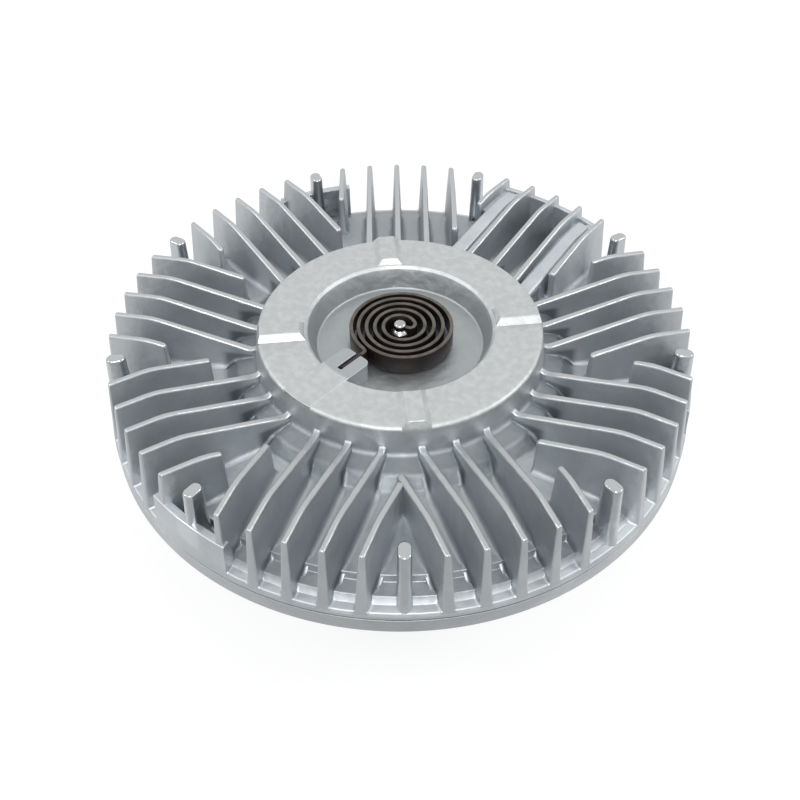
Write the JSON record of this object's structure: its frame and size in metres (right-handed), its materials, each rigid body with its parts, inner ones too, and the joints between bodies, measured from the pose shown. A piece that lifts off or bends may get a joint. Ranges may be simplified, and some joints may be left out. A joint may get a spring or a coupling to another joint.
{
  "type": "viscous fan clutch",
  "caption": "Thermostatic viscous fan clutch: finned die-cast housing with a spiral bimetal coil in its hub, running on a ball bearing around a flanged drive shaft.",
  "frame": {"origin": "centre of the drive flange's seat face, on the shaft axis", "axes": "+Z along the shaft towards the finned front cover; the cover's sector pattern starts 10 degrees from +X"},
  "size_m": [0.19, 0.19, 0.081],
  "materials": {
    "cast_aluminium": "as cast, satin",
    "rotor_aluminium": "machined",
    "bright_steel": "bright",
    "shaft_steel": "turned",
    "bimetal": "dark oxide",
    "bush_bronze": "bronze",
    "seal_rubber": "black rubber",
    "wiper_plastic": "natural nylon"
  },
  "bodies": {
    "drive": {"input_shaft": "shaft_steel", "rotor": "rotor_aluminium", "rotor_nut": "bright_steel", "bearing_inner": "bright_steel", "dust_slinger": "bright_steel"},
    "housing": {"front_cover": "cast_aluminium", "rear_body": "cast_aluminium", "rim_seal": "seal_rubber", "separator_plate": "bright_steel", "plate_screws": "bright_steel", "valve_bush": "bush_bronze", "valve_seal": "seal_rubber", "bimetal_coil": "bimetal", "return_plugs": "bright_steel", "pump_wiper": "wiper_plastic", "bearing_outer": "bright_steel", "bearing_seal_front": "seal_rubber", "bearing_seal_rear": "seal_rubber", "bearing_clip": "bimetal"},
    "ball_set": {"bearing_balls": "bright_steel", "bearing_cage": "bush_bronze"},
    "valve": {"valve_shaft": "bright_steel", "valve_arm": "bright_steel"}
  },
  "joints": [
    {"name": "housing_spin", "type": "hinge", "parent": "drive", "child": "housing", "pos_m": [0, 0, 0.036], "axis": [0, 0, 1], "continuous": true},
    {"name": "ball_set_spin", "type": "hinge", "parent": "drive", "child": "ball_set", "pos_m": [0, 0, 0.036], "axis": [0, 0, 1], "continuous": true},
    {"name": "valve_turn", "type": "hinge", "parent": "housing", "child": "valve", "pos_m": [0, 0, 0.07], "axis": [0, 0, 1], "range_deg": [0, 35], "stiffness_Nm_per_rad": 0.02, "deforming": ["bimetal_coil"]}
  ],
  "couplings": [
    {"joint": "ball_set_spin", "follows": "housing_spin", "ratio": 0.618}
  ]
}
